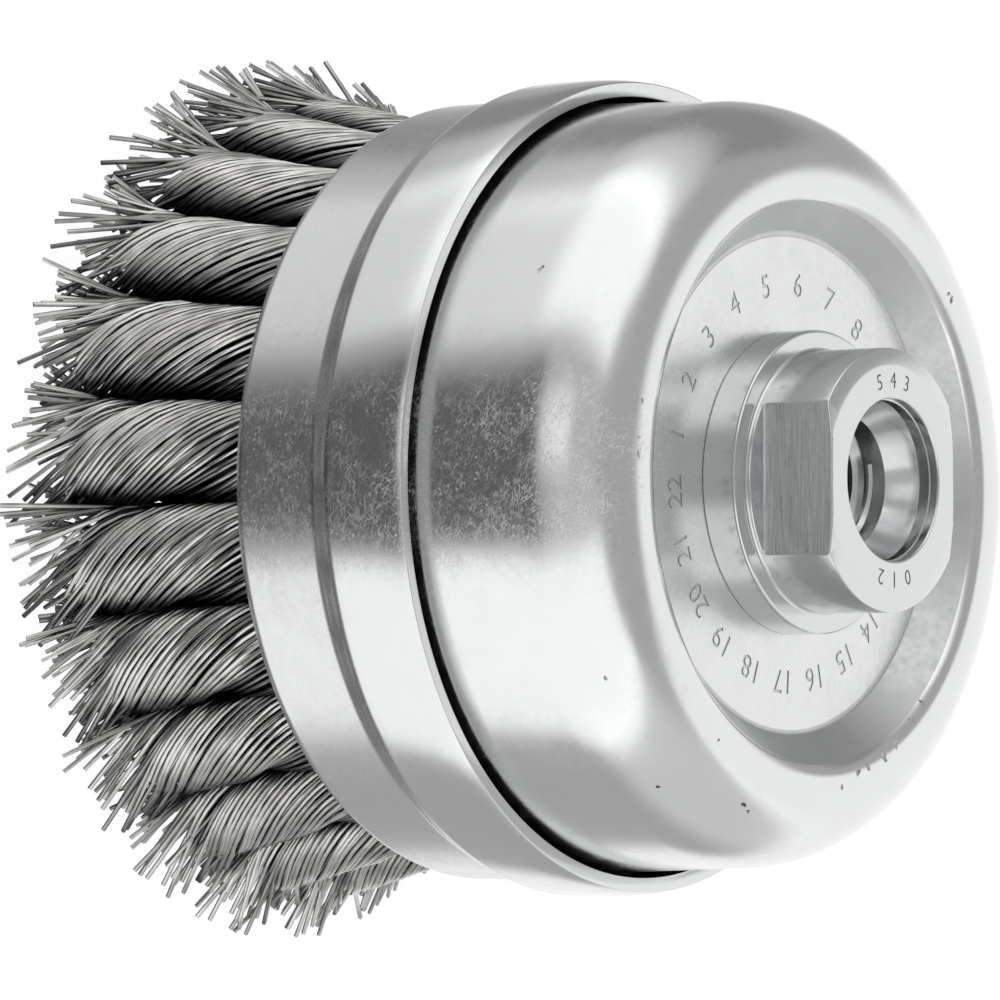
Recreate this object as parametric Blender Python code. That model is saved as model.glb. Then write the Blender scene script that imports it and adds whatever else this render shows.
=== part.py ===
"""Wire cup brush with twisted knots, a threaded bush and a support ring.

The brush stands on its wire tips with the bush up. The origin is at the bottom centre of the
tips, +Z runs up along the axis, and two wrench flats of the bush face +Y and -Y. All sizes are
in metres.
"""
import math

import bmesh
import bpy
from mathutils import Vector

# Knots: how many there are, how they lie round the axis and how much of them shows
KNOT_COUNT = 22
KNOT_START_ANGLE = math.radians(-95.35)
KNOT_FREE_LENGTH = 0.0262
KNOT_HALF_WIDTH = 0.0060
KNOT_HALF_DEPTH = 0.0047
KNOT_GROOVE = 0.82
GROOVE_WIDTH = 0.50
LEG_DIAMETER = 0.0036

# Twist, in radians per metre: loose where the ring holds the knots, and tighter towards their tips.
# Half a turn lies between the fold and the height where the groove crosses the knot's flank.
RING_TWIST = 72.0
TIP_TWIST = 205.0
TIGHT_Z = 0.008
GROOVE_Z = 0.0135

# Tips: the ends of the knots fray, lean outwards and are worn round
TIP_OUTER_RADIUS = 0.0465
TIP_HALF_DEPTH = 0.0073
TIP_HALF_WIDTH = 0.0066
TIP_ROUNDING = 0.0018
TIP_END_SHARE = 0.62
FRAY_LENGTH = 0.0095

# Cup shell: a drawn cup whose wall narrows a little from its open rim to its shoulder
CUP_RIM_RADIUS = 0.0402
CUP_WALL = 0.0016
CUP_HEIGHT = 0.03127
CUP_DRAFT = math.radians(2.3)
SHOULDER_WIDTH = 0.0088
SHOULDER_HEIGHT = 0.0105
CREST_RADIUS = 0.0025
RECESS_DEPTH = 0.0042
RECESS_SLOPE = math.radians(52)
RECESS_FILLET = 0.0022
DISC_RADIUS = 0.0251

# Support ring: the cup's rim sits on its joggle, its front part holds the knots in, and its rear
# part stands clear of the cup's wall
RING_WALL = 0.00160
RING_FRONT_LENGTH = 0.0097
RING_JOGGLE_LENGTH = 0.0038
RING_REAR_LENGTH = 0.0088
RING_LAP = 0.00100
RING_REAR_GAP = 0.00060
RING_REAR_TAPER = 0.00040
RING_REAR_TAPER_LENGTH = 0.0030
RING_LIP_RADIUS = 0.0018
RING_LIP_TURN = math.radians(40)
RING_SEAT_SHARE = 0.85

# Threaded bush
BORE_RADIUS = 0.0060
MOUTH_RADIUS = 0.0084
MOUTH_DEPTH = 0.0028
MOUTH_CONE_DEPTH = 0.0026
COLLAR_RADIUS = 0.0155
COLLAR_HEIGHT = 0.00355
COLLAR_EDGE = 0.00035
BODY_RADIUS = 0.0134
BODY_HEIGHT = 0.00885
BODY_FOOT_FILLET = 0.0004
END_CHAMFER_WIDTH = 0.0018
END_CHAMFER_ANGLE = math.radians(14)
ACROSS_FLATS = 0.0220
SHANK_RADIUS = 0.0108
RIVET_HEAD_RADIUS = 0.0134
RIVET_HEAD_HEIGHT = 0.0018
RIVET_HEAD_EDGE = 0.0005

# Knot plate
PLATE_THICKNESS = 0.0020
PLATE_WEB = 0.0018
PLATE_DISH_RADIUS = 0.0185
PLATE_DISH_WIDTH = 0.0035
PLATE_RIM_DROP = 0.0043

# Gap kept between pieces that touch
FIT = 0.0003

# Facets
ROUND_SEGMENTS = 52
PLATE_SEGMENTS = 2 * KNOT_COUNT
BUSH_SEGMENTS = 36
HOLE_SEGMENTS = 10
SHOULDER_STEPS = 5
BEND_STEPS = 2
JOGGLE_STEPS = 3
LOBE_POINTS = 4
FREE_RINGS = 8
HELD_RINGS = 3
FOLD_STEPS = 4

# Heights worked out from the sizes above
RING_FRONT_Z = KNOT_FREE_LENGTH
JOGGLE_Z = RING_FRONT_Z + RING_FRONT_LENGTH
CUP_RIM_Z = JOGGLE_Z + RING_JOGGLE_LENGTH * RING_SEAT_SHARE
RING_REAR_Z = JOGGLE_Z + RING_JOGGLE_LENGTH + RING_REAR_LENGTH
CREST_Z = CUP_RIM_Z + CUP_HEIGHT
SHOULDER_Z = CREST_Z - SHOULDER_HEIGHT
DISC_Z = CREST_Z - RECESS_DEPTH
COLLAR_Z = DISC_Z + FIT
COLLAR_TOP_Z = COLLAR_Z + COLLAR_HEIGHT
BUSH_END_Z = COLLAR_TOP_Z + BODY_HEIGHT
PLATE_TOP_Z = DISC_Z - CUP_WALL - FIT
PLATE_RIM_TOP_Z = PLATE_TOP_Z - PLATE_RIM_DROP
PLATE_RIM_BOTTOM_Z = PLATE_RIM_TOP_Z - PLATE_THICKNESS

# Radii worked out from the sizes above
CUP_SHOULDER_RADIUS = CUP_RIM_RADIUS - (SHOULDER_Z - CUP_RIM_Z) * math.tan(CUP_DRAFT)
CREST_CIRCLE = CUP_SHOULDER_RADIUS - SHOULDER_WIDTH
CUP_BORE_AT_SHOULDER = CUP_SHOULDER_RADIUS - CUP_WALL
CUP_BORE_AT_RIM = CUP_RIM_RADIUS - CUP_WALL
SHANK_HOLE_RADIUS = SHANK_RADIUS + FIT
LEG_RADIUS = LEG_DIAMETER / 2
PLATE_RIM_RADIUS = CUP_BORE_AT_SHOULDER - LEG_DIAMETER - 2 * FIT
PLATE_HOLE_RADIUS = LEG_RADIUS + FIT
PLATE_HOLE_CIRCLE = PLATE_RIM_RADIUS - PLATE_WEB - PLATE_HOLE_RADIUS
RING_FRONT_BORE = CUP_RIM_RADIUS - RING_LAP
RING_REAR_BORE = CUP_RIM_RADIUS + RING_REAR_GAP
KNOT_CIRCLE_AT_PLATE = CUP_BORE_AT_SHOULDER - FIT - KNOT_HALF_DEPTH
KNOT_CIRCLE_AT_RIM = CUP_BORE_AT_RIM - FIT - KNOT_HALF_DEPTH
KNOT_CIRCLE_IN_RING = RING_FRONT_BORE - FIT - KNOT_HALF_DEPTH
KNOT_TOP_Z = PLATE_RIM_BOTTOM_Z - FIT - LEG_RADIUS


def material(name, colour, roughness, metallic):
    """A Principled material with one plain colour."""
    made = bpy.data.materials.new(name)
    made.use_nodes = True
    shader = made.node_tree.nodes["Principled BSDF"]
    shader.inputs["Base Color"].default_value = (*colour, 1.0)
    shader.inputs["Roughness"].default_value = roughness
    shader.inputs["Metallic"].default_value = metallic
    made.diffuse_color = (*colour, 1.0)
    return made


def finish(name, bm, made):
    """Turns a bmesh into a named object with smooth round faces and its material."""
    bmesh.ops.recalc_face_normals(bm, faces=bm.faces)
    mesh = bpy.data.meshes.new(name)
    bm.to_mesh(mesh)
    bm.free()
    mesh.shade_smooth()
    mesh.set_sharp_from_angle(angle=math.radians(35))
    mesh.materials.append(made)
    piece = bpy.data.objects.new(name, mesh)
    bpy.context.collection.objects.link(piece)
    return piece


def arc(centre, width, height, start, end, steps):
    """Points (radius, height) along a round or elliptical arc, from one angle to the other."""
    angles = [start + (end - start) * i / steps for i in range(steps + 1)]
    return [(centre[0] + width * math.cos(a), centre[1] + height * math.sin(a)) for a in angles]


def turned(name, outline, segments, made):
    """Spins a closed outline of (radius, height) points once round the Z axis."""
    bm = bmesh.new()
    verts = [bm.verts.new((radius, 0, height)) for radius, height in outline]
    edges = [bm.edges.new((verts[i - 1], verts[i])) for i in range(len(verts))]
    bmesh.ops.spin(bm, geom=verts + edges, cent=(0, 0, 0), axis=(0, 0, 1),
                   angle=2 * math.pi, steps=segments, use_merge=True, use_duplicate=False)
    return finish(name, bm, made)


def sheet_outline(line, wall):
    """The closed section of a sheet whose outer side is the line and whose wall lies to its right."""
    inner = []
    for i, (radius, height) in enumerate(line):
        before = Vector(line[max(i - 1, 0)])
        after = Vector(line[min(i + 1, len(line) - 1)])
        here = Vector((radius, height))
        one = (here - before).normalized() if i else (after - here).normalized()
        two = (after - here).normalized() if i < len(line) - 1 else one
        middle = (one + two).normalized()
        side = Vector((middle.y, -middle.x))
        inner.append(here + side * wall / max(middle.dot(one), 0.5))
    return line + [tuple(point) for point in reversed(inner)]


def cut(piece, cutter):
    """Takes a closed cutter out of a piece and hides the cutter."""
    boolean = piece.modifiers.new(cutter.name, "BOOLEAN")
    boolean.operation = "DIFFERENCE"
    boolean.solver = "EXACT"
    boolean.object = cutter
    cutter.hide_render = True
    cutter.display_type = "WIRE"


def cutter_object(name, bm):
    """Makes an object without a material from a bmesh, to cut with."""
    bmesh.ops.recalc_face_normals(bm, faces=bm.faces)
    mesh = bpy.data.meshes.new(name)
    bm.to_mesh(mesh)
    bm.free()
    made = bpy.data.objects.new(name, mesh)
    bpy.context.collection.objects.link(made)
    return made


def build_cup_shell(made):
    """The drawn cup: coined disc with the bush's hole, recess slope, crest, shoulder and wall."""
    quarter = math.pi / 2
    fillet_centre = (DISC_RADIUS, DISC_Z + RECESS_FILLET)
    crest_centre = (CREST_CIRCLE, CREST_Z - CREST_RADIUS)
    shoulder_centre = (CREST_CIRCLE, SHOULDER_Z)
    line = [(SHANK_HOLE_RADIUS, DISC_Z)]
    line += arc(fillet_centre, RECESS_FILLET, RECESS_FILLET, -quarter, RECESS_SLOPE - quarter, BEND_STEPS)
    line += arc(crest_centre, CREST_RADIUS, CREST_RADIUS, quarter + RECESS_SLOPE, quarter, BEND_STEPS)
    line += arc(shoulder_centre, SHOULDER_WIDTH, SHOULDER_HEIGHT, quarter, 0, SHOULDER_STEPS)[1:]
    line += [(CUP_RIM_RADIUS, CUP_RIM_Z)]
    return turned("cup_shell", sheet_outline(line, CUP_WALL), ROUND_SEGMENTS, made)


def build_support_ring(made):
    """The pressed ring: rear part, smooth joggle, front part and turned-in front lip."""
    front = RING_FRONT_BORE + RING_WALL
    rear = RING_REAR_BORE + RING_WALL
    line = [(rear - RING_REAR_TAPER, RING_REAR_Z), (rear, RING_REAR_Z - RING_REAR_TAPER_LENGTH)]
    for i in range(JOGGLE_STEPS + 1):
        share = i / JOGGLE_STEPS
        radius = rear + (front - rear) * blend(share, 0, 1)
        line.append((radius, JOGGLE_Z + RING_JOGGLE_LENGTH * (1 - share)))
    lip_centre = (front - RING_LIP_RADIUS, RING_FRONT_Z + RING_LIP_RADIUS * math.sin(RING_LIP_TURN))
    line += arc(lip_centre, RING_LIP_RADIUS, RING_LIP_RADIUS, 0, -RING_LIP_TURN, BEND_STEPS)
    return turned("support_ring", sheet_outline(line, RING_WALL), ROUND_SEGMENTS, made)


def build_hub(made):
    """The bush: rivet head, shank, collar, body with two flats, chamfered end, mouth and bore."""
    rivet_z = PLATE_TOP_Z - PLATE_THICKNESS - FIT
    base_z = rivet_z - RIVET_HEAD_HEIGHT
    chamfer_z = BUSH_END_Z - END_CHAMFER_WIDTH * math.tan(END_CHAMFER_ANGLE)
    mouth_z = BUSH_END_Z - MOUTH_DEPTH
    outline = [
        (BORE_RADIUS, base_z),
        (RIVET_HEAD_RADIUS - RIVET_HEAD_EDGE, base_z),
        (RIVET_HEAD_RADIUS, base_z + RIVET_HEAD_EDGE),
        (RIVET_HEAD_RADIUS, rivet_z),
        (SHANK_RADIUS, rivet_z),
        (SHANK_RADIUS, COLLAR_Z),
        (COLLAR_RADIUS, COLLAR_Z),
        (COLLAR_RADIUS, COLLAR_TOP_Z - COLLAR_EDGE),
        (COLLAR_RADIUS - COLLAR_EDGE, COLLAR_TOP_Z),
        (BODY_RADIUS + BODY_FOOT_FILLET, COLLAR_TOP_Z),
        (BODY_RADIUS, COLLAR_TOP_Z + BODY_FOOT_FILLET),
        (BODY_RADIUS, chamfer_z),
        (BODY_RADIUS - END_CHAMFER_WIDTH, BUSH_END_Z),
        (MOUTH_RADIUS, BUSH_END_Z),
        (MOUTH_RADIUS, mouth_z),
        (BORE_RADIUS, mouth_z - MOUTH_CONE_DEPTH),
    ]
    hub = turned("hub", outline, BUSH_SEGMENTS, made)
    reach = BODY_RADIUS * 2
    flat_height = BUSH_END_Z - COLLAR_TOP_Z
    for side in (-1, 1):
        bm = bmesh.new()
        bmesh.ops.create_cube(bm, size=1.0)
        bmesh.ops.scale(bm, vec=(reach * 2, reach, flat_height * 2), verts=bm.verts)
        middle_z = COLLAR_TOP_Z + BODY_FOOT_FILLET + flat_height
        bmesh.ops.translate(bm, vec=(0, side * (ACROSS_FLATS + reach) / 2, middle_z), verts=bm.verts)
        cut(hub, cutter_object("flat_cutter_back" if side > 0 else "flat_cutter_front", bm))
    return hub


def build_knot_plate(made):
    """The dished plate: raised centre under the cup's disc, flat rim with one hole for each knot."""
    dish_end = PLATE_DISH_RADIUS + PLATE_DISH_WIDTH
    line = [
        (SHANK_HOLE_RADIUS, PLATE_TOP_Z),
        (PLATE_DISH_RADIUS, PLATE_TOP_Z),
        (dish_end, PLATE_RIM_TOP_Z),
        (PLATE_RIM_RADIUS, PLATE_RIM_TOP_Z),
    ]
    plate = turned("knot_plate", sheet_outline(line, PLATE_THICKNESS), PLATE_SEGMENTS, made)
    bm = bmesh.new()
    for i in range(KNOT_COUNT):
        angle = knot_angle(i)
        before = len(bm.verts)
        bmesh.ops.create_cone(bm, cap_ends=True, segments=HOLE_SEGMENTS, radius1=PLATE_HOLE_RADIUS,
                              radius2=PLATE_HOLE_RADIUS, depth=PLATE_THICKNESS * 2)
        bm.verts.ensure_lookup_table()
        middle = (PLATE_HOLE_CIRCLE * math.cos(angle), PLATE_HOLE_CIRCLE * math.sin(angle),
                  (PLATE_RIM_TOP_Z + PLATE_RIM_BOTTOM_Z) / 2)
        bmesh.ops.translate(bm, vec=middle, verts=bm.verts[before:])
    cut(plate, cutter_object("knot_hole_cutter", bm))
    return plate


def knot_angle(index):
    """Where a knot lies round the axis."""
    return KNOT_START_ANGLE + index * 2 * math.pi / KNOT_COUNT


def blend(value, start, end):
    """0 before start, 1 after end and a smooth step between them."""
    share = min(max((value - start) / (end - start), 0.0), 1.0)
    return share * share * (3 - 2 * share)


def between(start, end, share):
    """The value that lies this share of the way from start to end."""
    return start + (end - start) * share


def knot_circle(height):
    """Radius of the circle that the knots' centres lie on at a height."""
    if height > CUP_RIM_Z:
        up = (height - CUP_RIM_Z) / (KNOT_TOP_Z - CUP_RIM_Z)
        return between(KNOT_CIRCLE_AT_RIM, KNOT_CIRCLE_AT_PLATE, up)
    if height > RING_FRONT_Z:
        return between(KNOT_CIRCLE_IN_RING, KNOT_CIRCLE_AT_RIM, blend(height, RING_FRONT_Z, CUP_RIM_Z))
    tip_circle = TIP_OUTER_RADIUS - TIP_HALF_DEPTH
    return between(tip_circle, KNOT_CIRCLE_IN_RING, blend(height, 0, RING_FRONT_Z))


def free_twist(height):
    """How far a knot turns between the ring's front and a height below it: its twist grows evenly
    down to TIGHT_Z and then stays."""
    low = max(height, TIGHT_Z)
    growth = (TIP_TWIST - RING_TWIST) / (RING_FRONT_Z - TIGHT_Z)
    turn = RING_TWIST * (RING_FRONT_Z - low) + growth * (RING_FRONT_Z - low) ** 2 / 2
    return turn + TIP_TWIST * (low - height)


def knot_turn(height):
    """How far a knot has turned between its fold and a height."""
    held_turn = math.pi - free_twist(GROOVE_Z)
    if height < RING_FRONT_Z:
        return held_turn + free_twist(height)
    return held_turn * (KNOT_TOP_Z - height) / (KNOT_TOP_Z - RING_FRONT_Z)


def knot_ring(bm, height, share, outward, across):
    """One outline of a knot's two strands, turned with the height and rounded out where it frays.
    Its flanks stop halfway to the next knots. The share shrinks it, for the end of the tip."""
    circle = knot_circle(height)
    compact = min(max((height - TIP_ROUNDING) / (FRAY_LENGTH - TIP_ROUNDING), 0), 1)
    fray = (1 - compact) ** 2
    width = between(KNOT_HALF_WIDTH, TIP_HALF_WIDTH, fray) * share
    depth = between(KNOT_HALF_DEPTH, TIP_HALF_DEPTH, fray) * share
    turn = knot_turn(height)
    count = 2 * (LOBE_POINTS + 1)
    ring = []
    for point in range(count):
        around = 2 * math.pi * point / count - math.pi / 2
        size = between(KNOT_GROOVE, 1, max(blend(abs(math.cos(around)), 0, GROOVE_WIDTH), fray))
        radial = circle + depth * size * math.cos(around + turn)
        sideways = width * size * math.sin(around + turn)
        room = radial * math.tan(math.pi / KNOT_COUNT) - FIT / 2
        sideways = min(max(sideways, -room), room)
        ring.append(bm.verts.new(outward * radial + across * sideways + Vector((0, 0, height))))
    return ring


def join_rings(bm, first, second):
    """Faces between two rings of as many points."""
    for i in range(len(first)):
        bm.faces.new((first[i - 1], first[i], second[i], second[i - 1]))


def join_twisted(bm, lower, upper):
    """Faces between two rings of a twisted body, split along the shorter diagonal so that it stays full."""
    for i in range(len(lower)):
        bm.faces.new((lower[i - 1], lower[i], upper[i]))
        bm.faces.new((lower[i - 1], upper[i], upper[i - 1]))


def build_knot(index, made):
    """One knot: two twisted strands with a frayed end, joined above by the fold over the plate's rim."""
    angle = knot_angle(index)
    outward = Vector((math.cos(angle), math.sin(angle), 0))
    across = Vector((-math.sin(angle), math.cos(angle), 0))
    bm = bmesh.new()

    # Rounded tip, then the twisted body with more outlines on the stretch that shows below the ring
    heights = [between(TIP_ROUNDING, RING_FRONT_Z, i / FREE_RINGS) for i in range(FREE_RINGS)]
    heights += [between(RING_FRONT_Z, KNOT_TOP_Z, i / HELD_RINGS) for i in range(HELD_RINGS + 1)]
    rings = [knot_ring(bm, 0, TIP_END_SHARE, outward, across)]
    rings += [knot_ring(bm, height, 1, outward, across) for height in heights]
    for lower, upper in zip(rings, rings[1:]):
        join_twisted(bm, lower, upper)
    bm.faces.new(rings[0])

    # Fold: a leg from the outer strand goes over the plate's rim and down through the hole
    top = rings[-1]
    half = len(top) // 2
    outer_leg = top[:half + 1]
    inner_leg = top[half:] + top[:1]
    outer_circle = PLATE_RIM_RADIUS + FIT + LEG_RADIUS
    fold_circle = (outer_circle + PLATE_HOLE_CIRCLE) / 2
    fold_radius = outer_circle - fold_circle
    fold_z = PLATE_RIM_TOP_Z + FIT + LEG_RADIUS - fold_radius
    bows = [math.pi * i / FOLD_STEPS for i in range(FOLD_STEPS + 1)]
    stations = [(0, PLATE_RIM_BOTTOM_Z)] + [(bow, fold_z) for bow in bows] + [(math.pi, PLATE_RIM_BOTTOM_Z)]
    last = outer_leg
    count = len(outer_leg)
    for bow, base in stations:
        ring = []
        for i in range(count):
            around = 2 * math.pi * (i + 0.5) / count - math.pi
            reach = fold_radius + LEG_RADIUS * math.cos(around)
            height = base + reach * math.sin(bow)
            radial = fold_circle + reach * math.cos(bow)
            sideways = LEG_RADIUS * math.sin(around)
            ring.append(bm.verts.new(outward * radial + across * sideways + Vector((0, 0, height))))
        join_rings(bm, last, ring)
        last = ring
    join_rings(bm, last, inner_leg[::-1])
    return finish(f"knot_{index + 1:02d}", bm, made)


for old in list(bpy.data.objects):
    bpy.data.objects.remove(old, do_unlink=True)

zinc = material("zinc_plated_steel", (0.56, 0.57, 0.57), 0.28, 1.0)
ring_zinc = material("ring_zinc_plated_steel", (0.55, 0.56, 0.55), 0.30, 1.0)
turned_steel = material("turned_zinc_plated_steel", (0.60, 0.60, 0.60), 0.22, 1.0)
plate_steel = material("pressed_steel", (0.30, 0.30, 0.30), 0.45, 1.0)
wire_steel = material("drawn_steel_wire", (0.26, 0.26, 0.26), 0.36, 1.0)

build_cup_shell(zinc)
build_support_ring(ring_zinc)
build_hub(turned_steel)
build_knot_plate(plate_steel)
for knot in range(KNOT_COUNT):
    build_knot(knot, wire_steel)
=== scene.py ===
"""Wire cup brush: the look of every piece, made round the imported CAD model.

Each piece is modelled in millimetres and shrunk to metres as it is finished. The brush stands on
its wire tips, with its axis on Z and the flats of its bush facing +Y and -Y.
"""
import math
import random

import bmesh
import bpy
from mathutils import Matrix, Vector


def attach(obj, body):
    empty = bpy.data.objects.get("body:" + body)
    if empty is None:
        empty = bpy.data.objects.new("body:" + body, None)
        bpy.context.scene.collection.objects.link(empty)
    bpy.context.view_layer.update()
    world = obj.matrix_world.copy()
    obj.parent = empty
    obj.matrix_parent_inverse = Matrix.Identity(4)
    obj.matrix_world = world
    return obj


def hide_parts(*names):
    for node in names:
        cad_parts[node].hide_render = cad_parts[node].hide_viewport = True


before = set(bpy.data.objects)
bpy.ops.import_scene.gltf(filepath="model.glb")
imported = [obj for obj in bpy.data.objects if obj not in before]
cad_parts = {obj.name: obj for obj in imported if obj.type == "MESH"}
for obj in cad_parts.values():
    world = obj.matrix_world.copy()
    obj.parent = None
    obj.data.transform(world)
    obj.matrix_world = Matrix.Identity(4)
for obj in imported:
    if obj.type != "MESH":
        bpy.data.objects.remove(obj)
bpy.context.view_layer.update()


# Cup shell: a cup drawn from sheet steel, with a coined disc sunk inside its crest. It is zinc
# plated, then scuffed in handling. Its wall narrows a little towards the shoulder, and the
# rivet end of the bush holds it to the knot plate.
CUP_RIM_RADIUS, CUP_RIM_Z = 40.2, 39.13
SHOULDER_RADIUS, SHOULDER_Z = 39.36, 59.9
CREST_CIRCLE, CREST_Z = 30.57, 70.4
CREST_RADIUS = 2.5
DISC_RADIUS, DISC_Z = 25.4, 66.2
RECESS_FILLET, RECESS_SLOPE = 0.6, 47
SHELL_BELOW_DISC, SHELL_STEP = 0.08, 0.4
SHANK_HOLE_RADIUS = 11.1
CUP_WALL = 1.6
CUP_OUTER_ROUNDING, CUP_INNER_ROUNDING = 0.4, 0.3
CUP_SEGMENTS = 288
MM = 0.001


def linear(hex_colour):
    """Linear colour of an sRGB hex value."""
    parts = [int(hex_colour[i:i + 2], 16) / 255 for i in (1, 3, 5)]
    return tuple(c / 12.92 if c <= 0.04045 else ((c + 0.055) / 1.055) ** 2.4 for c in parts) + (1.0,)


def add_node(tree, kind, inputs=(), **settings):
    """Adds a node with its settings and inputs, each a value or a socket to link, and gives its outputs."""
    node = tree.nodes.new(kind)
    for key, value in settings.items():
        setattr(node, key, value)
    for place, value in dict(inputs).items():
        if isinstance(value, bpy.types.NodeSocket):
            tree.links.new(value, node.inputs[place])
        else:
            node.inputs[place].default_value = value
    return node.outputs


def arc(centre, width, height, start, end, steps):
    """Points (radius, height) of a round or elliptical arc between two angles in degrees."""
    turns = [math.radians(start + (end - start) * i / steps) for i in range(steps + 1)]
    return [(centre[0] + width * math.cos(a), centre[1] + height * math.sin(a)) for a in turns]


def sheet_section(line, wall):
    """Closed section of a sheet: the line is its outer side and the wall lies to the line's right."""
    inner = []
    for i, point in enumerate(line):
        here = Vector(point)
        one = (here - Vector(line[i - 1])).normalized() if i else None
        two = (Vector(line[i + 1]) - here).normalized() if i < len(line) - 1 else one
        one = one or two
        middle = (one + two).normalized()
        inner.append(here + Vector((middle.y, -middle.x)) * wall / middle.dot(one))
    return line + [tuple(point) for point in reversed(inner)]


def turned(section, rounded, segments):
    """Spins a closed section of (radius, height) points once round Z. Rounded gives corner: radius."""
    bm = bmesh.new()
    corners = [bm.verts.new((radius, 0, height)) for radius, height in section]
    for i in range(len(corners)):
        bm.edges.new((corners[i - 1], corners[i]))
    for corner, size in rounded.items():
        bmesh.ops.bevel(bm, geom=[corners[corner]], offset=size, offset_type="OFFSET", segments=3,
                        profile=0.5, affect="VERTICES", material=-1)
    bmesh.ops.spin(bm, geom=bm.verts[:] + bm.edges[:], cent=(0, 0, 0), axis=(0, 0, 1),
                   angle=2 * math.pi, steps=segments, use_merge=True, use_duplicate=False)
    bmesh.ops.recalc_face_normals(bm, faces=bm.faces)
    return bm


def finish_piece(name, bm, finish, smooth_angle=35):
    """Shrinks a piece from millimetres to metres and gives it its finish and smooth faces."""
    bmesh.ops.scale(bm, vec=(MM, MM, MM), verts=bm.verts)
    mesh = bpy.data.meshes.new(name)
    bm.to_mesh(mesh)
    bm.free()
    mesh.shade_smooth()
    mesh.set_sharp_from_angle(angle=math.radians(smooth_angle))
    mesh.materials.append(finish)
    piece = bpy.data.objects.new(name, mesh)
    bpy.context.collection.objects.link(piece)
    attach(piece, "root")
    return piece


def carve(piece, cutter_bm, finish):
    """Cuts a closed shape, in millimetres, out of a finished piece and gives the cut its own finish."""
    bmesh.ops.scale(cutter_bm, vec=(MM, MM, MM), verts=cutter_bm.verts)
    mesh = bpy.data.meshes.new("cutter")
    cutter_bm.to_mesh(mesh)
    cutter_bm.free()
    mesh.materials.append(finish)
    cutter = bpy.data.objects.new("cutter", mesh)
    bpy.context.collection.objects.link(cutter)
    cut = piece.modifiers.new("cut", "BOOLEAN")
    cut.operation = "DIFFERENCE"
    cut.solver = "EXACT"
    cut.material_mode = "TRANSFER"
    cut.object = cutter
    bpy.context.view_layer.update()
    carved = bpy.data.meshes.new_from_object(piece.evaluated_get(bpy.context.evaluated_depsgraph_get()))
    piece.modifiers.clear()
    piece.data = carved
    bpy.data.objects.remove(cutter, do_unlink=True)


def stamp_marks(marks, radius, size, top, depth):
    """Closed cutters for figures stamped round the axis, their heads outwards: (figures, degrees)."""
    half_height = 0.5
    bm = bmesh.new()
    for figures, degrees in marks:
        mark = bpy.data.curves.new("mark", "FONT")
        mark.body = figures
        mark.size = size
        mark.align_x, mark.align_y = "CENTER", "CENTER"
        mark.resolution_u = 2
        mark.extrude = half_height
        letters = bpy.data.objects.new("mark", mark)
        bpy.context.collection.objects.link(letters)
        bpy.context.view_layer.update()
        mesh = bpy.data.meshes.new_from_object(letters.evaluated_get(bpy.context.evaluated_depsgraph_get()))
        turn = math.radians(degrees)
        place = Matrix.Translation((radius * math.cos(turn), radius * math.sin(turn),
                                    top - depth + half_height))
        mesh.transform(place @ Matrix.Rotation(turn - math.pi / 2, 4, "Z"))
        bm.from_mesh(mesh)
        bpy.data.objects.remove(letters, do_unlink=True)
    bmesh.ops.remove_doubles(bm, verts=bm.verts, dist=0.0005)
    return bm


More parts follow.
